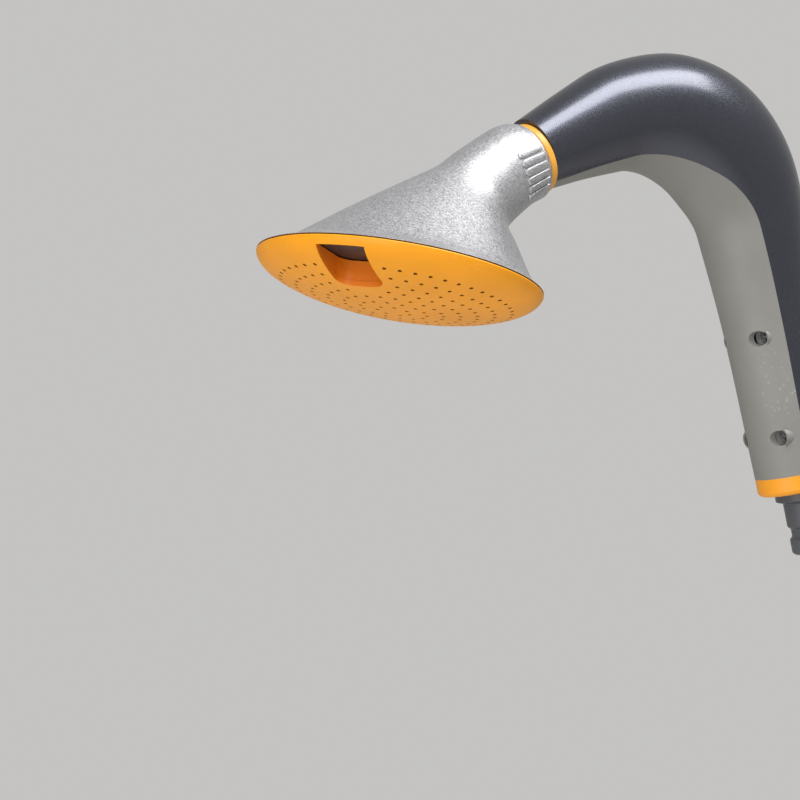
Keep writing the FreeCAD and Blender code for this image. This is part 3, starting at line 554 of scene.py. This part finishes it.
# ---------------------------------------------------------------- rose
def rose_point_matrix(share):
    """Circle of unit radius placed and sized at a share of the way from rim to neck."""
    s = sizes()
    rows = [(i / (len(ROSE_STATIONS) - 1),) + row for i, row in enumerate(ROSE_STATIONS)]
    share_x, share_z, share_r, share_tilt = [smooth_value(rows, share, k) for k in (1, 2, 3, 4)]
    reach = NECK_END - RIM
    centre = RIM + Vector((reach.x * share_x, 0.0, reach.z * share_z))
    radius = s.neck_radius + (s.rim_radius - s.neck_radius) * share_r
    tilt = (math.pi / 2.0 - NECK_TILT) * share_tilt
    return centre, radius, Matrix.Rotation(tilt, 4, "Y")


def rose_circle(share, inset, count):
    centre, radius, turn = rose_point_matrix(share)
    radius -= inset
    return [
        centre + turn @ Vector((radius * math.cos(a), radius * math.sin(a), 0.0))
        for a in (math.tau * i / count for i in range(count))
    ]


def build_rose_shell():
    s = sizes()
    around = 160
    along = 64
    bore = 0.00808
    socket = 0.017
    round_end = 0.0016
    rows = [rose_circle(i / along, 0.0, around) for i in range(along + 1)]
    clear = 1.4 * round_end
    rows = [row for row in rows if (sum(row, Vector()) / around - NECK_END).dot(NECK_AXIS) < -clear]
    axis_frame = lying(NECK_END, NECK_AXIS)

    def neck_circle(radius, depth):
        return [
            axis_frame @ Vector((radius * math.cos(a), radius * math.sin(a), -depth))
            for a in (math.tau * i / around for i in range(around))
        ]
    for turn in (math.pi / 2 * i / 8 for i in range(9)):
        radius = s.neck_radius - round_end * (1.0 - math.cos(turn))
        rows.append(neck_circle(radius, round_end * (1.0 - math.sin(turn))))
    rows.append(neck_circle(bore, 0.0))
    rows.append(neck_circle(bore, socket))
    inside_share = 0.72
    rim_wall = 0.0046
    steps = 20
    for i in range(steps + 1):
        share = inside_share * (1.0 - i / steps)
        inset = s.shell_wall + (rim_wall - s.shell_wall) * (i / steps) ** 6
        rows.append(rose_circle(share, inset, around))
    bm = bmesh.new()
    first, last = loft(bm, rows, True)
    join_rows(bm, first, last)
    add_grip_bars(bm)
    bmesh.ops.recalc_face_normals(bm, faces=bm.faces)
    shell = piece("rose_shell_skin", bm, "rose", finish("shell_silver"), ("rose_shell",))
    return soft_edges(shell, 0.0005, 3, 40.0)


def add_grip_bars(bm):
    """Low bars along the neck, six on each side, rounded at the end towards the rose."""
    bar_count = 6
    first_turn = math.radians(75.0)
    step = math.radians(12.0)
    skin = BVHTree.FromBMesh(bm)
    for side in (-1.0, 1.0):
        for index in range(bar_count):
            add_grip_bar(bm, skin, math.pi - side * (first_turn + step * index))


def add_grip_bar(bm, skin, turn):
    """One bar as a loft of flat-topped sections that narrow to a round end."""
    skin_radius = 0.0145
    narrowest = 0.02
    length = 0.011
    from_end = 0.002
    half_width = 0.00125
    height = 0.00075
    root = 0.0012
    steps = 14
    flank = ((1.0, -1.0), (1.0, 0.45), (0.9, 0.85), (0.66, 1.0))
    section = [(-across, up) for across, up in flank] + list(flank[::-1])
    rows = []
    for i in range(steps + 1):
        reach = length * (i / steps) ** 1.6
        nose = min(reach / half_width, (length - reach) / half_width * 2.0 + 0.35, 1.0)
        share = math.sqrt(max(1.0 - (1.0 - nose) ** 2, narrowest))
        along = -(from_end + length) + reach
        row = []
        for across, up in section:
            angle = turn + across * half_width * share / skin_radius
            lift = up * height * share if up > 0.0 else -root
            row.append(on_neck(skin, angle, along, lift))
        rows.append(row)
    first, last = loft(bm, rows, True)
    bm.faces.new(first)
    bm.faces.new(last)


def on_neck(skin, angle, along, lift):
    """Point above the neck's surface, found by looking at it square to the neck's axis."""
    stand_off = 0.03
    axis_frame = lying(NECK_END, NECK_AXIS)
    centre = axis_frame @ Vector((0.0, 0.0, along))
    out = axis_frame.to_3x3() @ Vector((math.cos(angle), math.sin(angle), 0.0))
    hit = skin.ray_cast(centre + out * stand_off, -out)[0]
    return hit + out * lift


# ---------------------------------------------------------------- spray face
def dome_profile():
    """Closed outline of the domed face from its middle to the rim and back inside."""
    s = sizes()
    gap = 0.0003
    steps = 30
    # Rounded corner at the rim: how far in from the radius, how far below the rim's plane.
    corner = ((0.00005, 0.0008), (0.00018, 0.0005), (0.0004, 0.00034), (0.0007, gap))
    corner_start = 0.0009
    outer_r, depth = s.rim_radius, s.dome_depth
    inner_r, inner_depth = outer_r - s.face_wall, depth - s.face_wall
    last = math.asin(gap / depth)
    outer = [i / steps * (math.pi / 2 - last) for i in range(steps + 1)]
    profile = [(outer_r * math.sin(a), -depth * math.cos(a)) for a in outer[:-1]]
    profile = [(r, z) for r, z in profile if z < -corner_start]
    profile += [(outer_r - inwards, -below) for inwards, below in corner]
    inner_last = math.asin(gap / inner_depth)
    inner = [i / steps * (math.pi / 2 - inner_last) for i in range(steps + 1)]
    profile += [(inner_r * math.sin(a), -inner_depth * math.cos(a)) for a in reversed(inner)]
    return profile


def slot_outline(margin, corner_steps=6):
    """U-shaped slot outline in its own direction: (along, across) points, open at the rim's side."""
    s = sizes()
    half = s.slot_width / 2 + margin
    inner = s.slot_inner - margin
    outer = s.slot_outer + margin
    corner = 0.0045 + margin
    points = []
    for side in (-1.0, 1.0):
        turns = [math.pi / 2 * i / corner_steps for i in range(corner_steps + 1)]
        if side > 0:
            turns.reverse()
        for turn in turns:
            along = inner + corner - corner * math.sin(turn)
            across = side * (half - corner + corner * math.cos(turn))
            points.append((along, across))
    rim_along = math.sqrt(outer ** 2 - half ** 2)
    parts = 9
    side_run = [inner + corner + (rim_along - inner - corner) * i / parts for i in range(parts - 1, 0, -1)]
    points = [(x, -half) for x in side_run] + points + [(x, half) for x in reversed(side_run)]
    rim_turn = math.asin(half / outer)
    rim = [rim_turn * (1.0 - 2.0 * i / corner_steps) for i in range(corner_steps + 1)]
    return points, [(outer * math.cos(a), outer * math.sin(a)) for a in rim]


def in_slot_frame(along, across, height):
    turn = Matrix.Rotation(sizes().slot_angle, 4, "Z")
    return RIM + turn @ Vector((along, across, height))


def slot_cutter():
    """Prism of the slot's outline, from below the dome to inside the rose."""
    below = 0.02
    tall = 0.0172
    bm = bmesh.new()
    walls, rim = slot_outline(0.0)
    face = bm.faces.new([bm.verts.new(in_slot_frame(x, y, -below)) for x, y in walls + rim])
    made = bmesh.ops.extrude_face_region(bm, geom=[face])["geom"]
    top = [g for g in made if isinstance(g, bmesh.types.BMVert)]
    bmesh.ops.translate(bm, verts=top, vec=UP * tall)
    bmesh.ops.recalc_face_normals(bm, faces=bm.faces)
    return bm


def hole_places():
    """Centres of the spray holes: rings about the rose's axis, left out round the slot."""
    s = sizes()
    keep_off = 0.0034
    rings = 7
    holes_in_first = 7
    places = []
    for ring in range(1, rings + 1):
        count = holes_in_first * ring
        for step in range(count):
            angle = math.tau * (step + 0.5) / count
            along = s.hole_ring_step * ring * math.cos(angle)
            across = s.hole_ring_step * ring * math.sin(angle)
            if not (along > s.slot_inner - keep_off and abs(across) < s.slot_width / 2 + keep_off):
                places.append(in_slot_frame(along, across, 0.0))
    return places


def drill_cutter():
    radius = sizes().hole_radius
    long = 0.016
    middle = 0.0095
    bm = bmesh.new()
    for place in hole_places():
        bmesh.ops.create_cone(bm, cap_ends=True, segments=12, radius1=radius, radius2=radius,
                              depth=long, matrix=Matrix.Translation(place - UP * middle))
    return bm


def build_spray_face():
    dome = turned(dome_profile(), 144, Matrix.Translation(RIM))
    face = piece("spray_face", dome, "face", finish("orange_plastic"), ("face_plate",))
    carved(face, slot_cutter())
    carved(face, drill_cutter())
    face.data.polygons.foreach_set("use_smooth", [True] * len(face.data.polygons))
    face.data.set_sharp_from_angle(angle=math.radians(35.0))
    paint_recess_shade(face)
    soft_edges(face, 0.0002, 2, 38.0)
    build_collar()
    return face


def paint_recess_shade(face):
    """Marks painted shade on the walls of the spray holes and of the spout slot."""
    near = sizes().hole_radius * 1.1
    tree = KDTree(len(hole_places()))
    for index, place in enumerate(hole_places()):
        tree.insert((place.x, place.y, 0.0), index)
    tree.balance()
    walls = [tree.find((v.co.x, v.co.y, 0.0))[2] < near for v in face.data.vertices]
    # Corners on the hole walls carry painted shade.
    painted_hole_shade = face.data.attributes.new("painted_hole_shade", "FLOAT", "CORNER")
    painted_slot_shade = face.data.attributes.new("painted_slot_shade", "FLOAT", "CORNER")
    for polygon in face.data.polygons:
        if all(walls[index] for index in polygon.vertices):
            for corner in polygon.loop_indices:
                painted_hole_shade.data[corner].value = 0.8
        # Walls of the spout slot get the darker, redder orange as painted shade.
        elif abs(polygon.normal.z) < 0.2 and beside_slot(polygon.center):
            for corner in polygon.loop_indices:
                painted_slot_shade.data[corner].value = 1.0


def beside_slot(point):
    """True on the walls of the spout slot."""
    s = sizes()
    room = 0.0005
    local = Matrix.Rotation(-s.slot_angle, 4, "Z") @ (point - RIM)
    return s.slot_inner - room < local.x < s.slot_outer + room and abs(local.y) < s.slot_width / 2 + room


def build_collar():
    """Wall that rises round the slot to just under the port plate, and the hub the face turns on."""
    s = sizes()
    top = -0.0028
    wall = 0.0014
    offset = 0.0003
    sunk = 0.0009
    hub_radius, hub_length, hub_middle = 0.004, 0.0145, -0.0039
    bm = bmesh.new()
    inner, inner_rim = slot_outline(offset)
    outer, outer_rim = slot_outline(offset + wall)

    def dome_at(along, across):
        share = min((along ** 2 + across ** 2) / (s.rim_radius - s.face_wall) ** 2, 0.98)
        return -(s.dome_depth - s.face_wall) * math.sqrt(1.0 - share) - sunk
    rows = [
        [in_slot_frame(x, y, dome_at(x, y)) for x, y in inner],
        [in_slot_frame(x, y, top) for x, y in inner],
        [in_slot_frame(x, y, top) for x, y in outer],
        [in_slot_frame(x, y, dome_at(x, y)) for x, y in outer],
    ]
    rows = [list(row) for row in zip(*rows)]
    first, last = loft(bm, rows, True)
    for row in (first, last):
        bm.faces.new(row)
    bmesh.ops.create_cone(bm, cap_ends=True, segments=48, radius1=hub_radius, radius2=hub_radius,
                          depth=hub_length, matrix=Matrix.Translation(RIM + UP * hub_middle))
    bmesh.ops.recalc_face_normals(bm, faces=bm.faces)
    # The collar is the face's own plastic; its darker, redder orange is painted shade.
    collar = piece("spout_collar", bm, "face", finish("pocket"))
    return soft_edges(collar, 0.0003, 2, 40.0)


# ---------------------------------------------------------------- neck ring
def build_neck_ring():
    s = sizes()
    inner, outer = 0.008, s.ring_radius
    gap = 0.0003
    profile = [(inner, gap), (outer, gap), (outer, s.ring_width), (inner, s.ring_width)]
    band = turned(profile, 128, lying(NECK_END, NECK_AXIS))
    ring = piece("neck_ring_band", band, "handle", finish("ring_orange"), ("neck_ring",))
    return soft_edges(ring, 0.0007, 4, 40.0)


# ---------------------------------------------------------------- body
def path_point(station):
    """Centre line of the body in metres: a point and its heading."""
    s = sizes()
    start = NECK_END + NECK_AXIS * s.ring_width
    bend_start = start + NECK_AXIS * s.body_run
    bend_centre = bend_start - heading(NECK_TILT + math.pi / 2) * s.bend_radius
    bend_turn = NECK_TILT + HANDLE_DROP
    if station <= s.body_run:
        return start + NECK_AXIS * station, NECK_TILT
    turn = (station - s.body_run) / s.bend_radius
    if turn <= bend_turn:
        course = NECK_TILT - turn
        return bend_centre + heading(course + math.pi / 2) * s.bend_radius, course
    rest = station - s.body_run - bend_turn * s.bend_radius
    return bend_centre + HANDLE_OUT * s.bend_radius + HANDLE_AXIS * rest, -HANDLE_DROP


def body_length():
    s = sizes()
    return s.body_run + (NECK_TILT + HANDLE_DROP) * s.bend_radius + s.handle_length


def body_section(station, inset, upper, count):
    """Points across one shell at a station, from one parting edge to the other."""
    scaled = station / body_length() * BODY_STATIONS[-1][0]
    outer, inner, half_width = [smooth_value(BODY_STATIONS, scaled, k) * MM for k in (1, 2, 3)]
    parting = smooth_value(PARTING_STATIONS, scaled, 1) * MM
    point, course = path_point(station)
    out = heading(course + math.pi / 2)
    middle = (outer - inner) / 2
    centre = point + out * middle
    tall = (outer + inner) / 2
    lift = max(-0.999, (-parting - middle) / tall)
    edge = math.asin(lift)
    tall -= inset
    wide = half_width - inset
    if upper:
        turns = [edge + (math.pi - 2 * edge) * i / count for i in range(count + 1)]
    else:
        turns = [math.pi - edge + (math.pi + 2 * edge) * i / count for i in range(count + 1)]
    return [centre + out * (tall * math.sin(t)) + SIDE * (wide * math.cos(t)) for t in turns]


def shell_mesh(upper, count):
    """One body shell as a closed solid: outer skin, inner skin and the edges that join them."""
    s = sizes()
    along = 96
    bm = bmesh.new()
    rows = []
    for i in range(along + 1):
        station = body_length() * i / along
        outside = body_section(station, 0.0, upper, count)
        inside = body_section(station, s.body_wall, upper, count)
        rows.append(outside + inside[::-1])
    first, last = loft(bm, rows, True)
    for row in (first, last):
        ends = [(row[i], row[i + 1], row[-2 - i], row[-1 - i]) for i in range(count)]
        for corners in ends:
            bm.faces.new(corners)
    bmesh.ops.recalc_face_normals(bm, faces=bm.faces)
    return bm


def build_body_upper():
    """Upper shell with the hole for the valve's stem, and the raised seat under the knob."""
    stem_hole = 0.0034
    drill = 0.06
    seat_top = 0.0222
    bm = shell_mesh(True, 56)
    shell = piece("body_upper_skin", bm, "handle", finish("body_graphite"), ("body_upper",))
    cutter = bmesh.new()
    bmesh.ops.create_cone(cutter, cap_ends=True, segments=48, radius1=stem_hole, radius2=stem_hole,
                          depth=drill, matrix=lying(VALVE + HANDLE_OUT * drill / 2, HANDLE_OUT))
    carved(shell, cutter)
    shell.data.set_sharp_from_angle(angle=math.radians(35.0))
    soft_edges(shell, 0.00045, 3, 40.0)
    seat_profile = [(stem_hole, 0.0165), (0.0145, 0.0135), (0.0136, 0.0185), (0.0122, seat_top),
                    (stem_hole, seat_top)]
    seat_mesh = turned(seat_profile, 96, lying(VALVE, HANDLE_OUT))
    seat = piece("knob_seat", seat_mesh, "handle", finish("body_graphite"))
    soft_edges(seat, 0.0008, 3, 25.0)
    return shell


def screw_places():
    """Axes of the body screws on the handle's centre line, either side of the tube."""
    bend_end = path_point(body_length())[0] - HANDLE_AXIS * sizes().handle_length
    off_centre = 0.0096
    return [bend_end + HANDLE_AXIS * along + SIDE * across
            for along in (0.042, 0.080) for across in (-off_centre, off_centre)]


def build_body_lower():
    """Lower shell with four counterbored screw holes, and the sleeves behind them."""
    head_hole, shank_hole, sleeve_radius = 0.0029, 0.0017, 0.0036
    drill = 0.02
    drill_middle = 0.019
    sleeve_start, sleeve_end, head_seat = -0.0126, -0.0088, -0.0094
    shell = piece("body_lower_skin", shell_mesh(False, 40), "handle", finish("body_grey"),
                  ("body_lower",))
    cutter = bmesh.new()
    for place in screw_places():
        bmesh.ops.create_cone(cutter, cap_ends=True, segments=32, radius1=head_hole, radius2=head_hole,
                              depth=drill, matrix=lying(place - HANDLE_OUT * drill_middle, HANDLE_OUT))
    carved(shell, cutter)
    shell.data.set_sharp_from_angle(angle=math.radians(35.0))
    soft_edges(shell, 0.0004, 3, 40.0)
    profile = [(head_hole, sleeve_start), (sleeve_radius, sleeve_start), (sleeve_radius, sleeve_end),
               (shank_hole, sleeve_end), (shank_hole, head_seat), (head_hole, head_seat)]
    bm = bmesh.new()
    for place in screw_places():
        sleeve = turned(profile, 32, lying(place, HANDLE_OUT))
        mesh = bpy.data.meshes.new("sleeve")
        sleeve.to_mesh(mesh)
        sleeve.free()
        bm.from_mesh(mesh)
        bpy.data.meshes.remove(mesh)
    return piece("screw_sleeves", bm, "handle", finish("body_grey"))


# ---------------------------------------------------------------- inlet and knob
def build_hose_nipple():
    """Click nipple: a stem with grooves inside the inlet, a flange, and the plug with its catch groove."""
    # Outline in millimetres: radius, distance out from the flange's inner face.
    profile = [
        (4.3, -12.8), (6.42, -12.8), (6.42, -10.0), (4.9, -10.0), (4.9, -8.0), (6.42, -8.0), (6.42, -4.6),
        (5.6, -4.6), (5.6, -3.0), (6.42, -3.0), (6.42, 0.0), (10.5, 0.0), (10.5, 3.0), (8.0, 4.0),
        (8.0, 13.0), (6.9, 14.0), (6.9, 17.0), (8.0, 18.0), (8.0, 23.0), (7.0, 24.0), (4.3, 24.0),
    ]
    outline = [(r * MM, z * MM) for r, z in profile]
    turning = turned(outline, 96, lying(INLET, HANDLE_AXIS))
    nipple = piece("hose_nipple_turned", turning, "nipple", finish("nipple_grey"),
                   ("hose_nipple",))
    return soft_edges(nipple, 0.0003, 2, 30.0)


def dress_cad_nodes():
    """Gives every node that stays its slot's finish."""
    for name, thing in frame["nodes"].items():
        material = finish(CAD_SLOTS[name])
        thing.data.materials.clear()
        thing.data.materials.append(material)


# ---------------------------------------------------------------- stage
def build_stage():
    """Pale flat floor well below the wand, a long soft light above it and two weaker ones in front."""
    half = 2.6
    level = -0.42
    floor_mesh = bpy.data.meshes.new("studio_floor")
    bm = bmesh.new()
    bmesh.ops.create_grid(bm, x_segments=8, y_segments=8, size=half,
                          matrix=Matrix.Translation((0.0, 0.0, level)))
    bm.to_mesh(floor_mesh)
    bm.free()
    floor = bpy.data.objects.new("studio_floor", floor_mesh)
    floor_mesh.materials.append(painted_board("board_painted_pale", colours().floor))
    bpy.context.scene.collection.objects.link(floor)
    build_world()
    bpy.context.scene.view_settings.view_transform = "Standard"
    panel_light("key_light", (0.02, -0.42, 0.85), RIM, (1.1, 0.42), 12.0)
    panel_light("front_light", (-0.65, -0.75, 0.35), RIM, (0.5, 0.5), 5.0)
    panel_light("low_fill", (-0.55, -0.35, -0.40), RIM, (0.6, 0.6), 2.4)


def build_world():
    """Even pale surroundings, dimmer as light than to look at, so that the forms stay readable."""
    as_light, to_look_at = 0.46, 0.66
    world = bpy.data.worlds.new("studio")
    world.use_nodes = True
    tree = world.node_tree
    tree.nodes.clear()
    sight = add(tree, "ShaderNodeLightPath").outputs["Is Camera Ray"]
    strength = add(tree, "ShaderNodeMapRange", {
        "Value": sight, "To Min": as_light, "To Max": to_look_at}).outputs["Result"]
    pale = add(tree, "ShaderNodeBackground", {"Color": linear(colours().air), "Strength": strength})
    add(tree, "ShaderNodeOutputWorld", {"Surface": pale.outputs["Background"]})
    bpy.context.scene.world = world


def panel_light(name, offset, target, size, power):
    """Rectangular soft light that looks at a target from an offset."""
    light = bpy.data.lights.new(name, "AREA")
    light.shape = "RECTANGLE"
    light.size, light.size_y = size
    light.energy = power
    lamp = bpy.data.objects.new(name, light)
    lamp.location = target + Vector(offset)
    lamp.rotation_euler = (-Vector(offset)).to_track_quat("-Z", "Y").to_euler()
    bpy.context.scene.collection.objects.link(lamp)


def build_camera():
    """Low three-quarter view of the spray face, slightly rolled, as a hand holds the wand."""
    azimuth = math.radians(28.0)
    below = math.radians(12.37)
    roll = math.radians(9.57)
    aim_lower = math.radians(3.255)
    distance = 0.764
    right = Vector((math.cos(azimuth), -math.sin(azimuth), 0.0))
    away = Vector((math.sin(azimuth), math.cos(azimuth), 0.0))
    back = -away * math.cos(below) - UP * math.sin(below)
    upright = back.cross(right)
    local_x = right * math.cos(roll) + upright * math.sin(roll)
    local_y = -right * math.sin(roll) + upright * math.cos(roll)
    data = bpy.data.cameras.new("camera")
    data.lens = 100.0
    data.sensor_width = 36.0
    camera = bpy.data.objects.new("camera", data)
    basis = Matrix((local_x, local_y, back)).transposed().to_4x4()
    dip = Matrix.Rotation(-aim_lower, 4, "X")
    camera.matrix_world = Matrix.Translation(RIM + back * distance) @ basis @ dip
    bpy.context.scene.collection.objects.link(camera)
    bpy.context.scene.camera = camera


# ---------------------------------------------------------------- operators
class WAND_OT_rose(bpy.types.Operator):
    """Build the silver rose shell with its grip bars"""

    bl_idname = "wand.rose"
    bl_label = "Rose shell"

    def execute(self, context):
        build_rose_shell()
        return {"FINISHED"}


class WAND_OT_spray_face(bpy.types.Operator):
    """Build the domed spray face with its holes, slot and collar"""

    bl_idname = "wand.spray_face"
    bl_label = "Spray face"

    def execute(self, context):
        build_spray_face()
        return {"FINISHED"}


class WAND_OT_neck_ring(bpy.types.Operator):
    """Build the coloured ring between rose and body"""

    bl_idname = "wand.neck_ring"
    bl_label = "Neck ring"

    def execute(self, context):
        build_neck_ring()
        return {"FINISHED"}


class WAND_OT_body(bpy.types.Operator):
    """Build the two body shells"""

    bl_idname = "wand.body"
    bl_label = "Body shells"

    def execute(self, context):
        build_body_upper()
        build_body_lower()
        return {"FINISHED"}


class WAND_OT_inlet(bpy.types.Operator):
    """Build the hose nipple"""

    bl_idname = "wand.inlet"
    bl_label = "Hose inlet"

    def execute(self, context):
        build_hose_nipple()
        return {"FINISHED"}


class WAND_OT_finishes(bpy.types.Operator):
    """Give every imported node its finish"""

    bl_idname = "wand.finishes"
    bl_label = "Finishes"

    def execute(self, context):
        dress_cad_nodes()
        return {"FINISHED"}


class WAND_OT_stage(bpy.types.Operator):
    """Build the floor, lights and camera"""

    bl_idname = "wand.stage"
    bl_label = "Stage"

    def execute(self, context):
        build_stage()
        build_camera()
        return {"FINISHED"}


class WAND_PT_panel(bpy.types.Panel):
    """Sidebar panel that lists the wand's operators"""

    bl_label = "Watering wand"
    bl_idname = "WAND_PT_panel"
    bl_space_type = "VIEW_3D"
    bl_region_type = "UI"
    bl_category = "Wand"

    def draw(self, context):
        for operator in OPERATORS:
            self.layout.operator(operator.bl_idname)


OPERATORS = (
    WAND_OT_rose,
    WAND_OT_spray_face,
    WAND_OT_neck_ring,
    WAND_OT_body,
    WAND_OT_inlet,
    WAND_OT_finishes,
    WAND_OT_stage,
)
CLASSES = (WandSizes, WandColours) + OPERATORS + (WAND_PT_panel,)


def register():
    for cls in CLASSES:
        bpy.utils.register_class(cls)
    bpy.types.Scene.wand_sizes = bpy.props.PointerProperty(type=WandSizes)
    bpy.types.Scene.wand_colours = bpy.props.PointerProperty(type=WandColours)


def unregister():
    del bpy.types.Scene.wand_colours
    del bpy.types.Scene.wand_sizes
    for cls in reversed(CLASSES):
        bpy.utils.unregister_class(cls)


def main():
    register()
    bpy.ops.wand.rose()
    bpy.ops.wand.spray_face()
    bpy.ops.wand.neck_ring()
    bpy.ops.wand.body()
    bpy.ops.wand.inlet()
    bpy.ops.wand.finishes()
    bpy.ops.wand.stage()


if __name__ == "__main__":
    main()
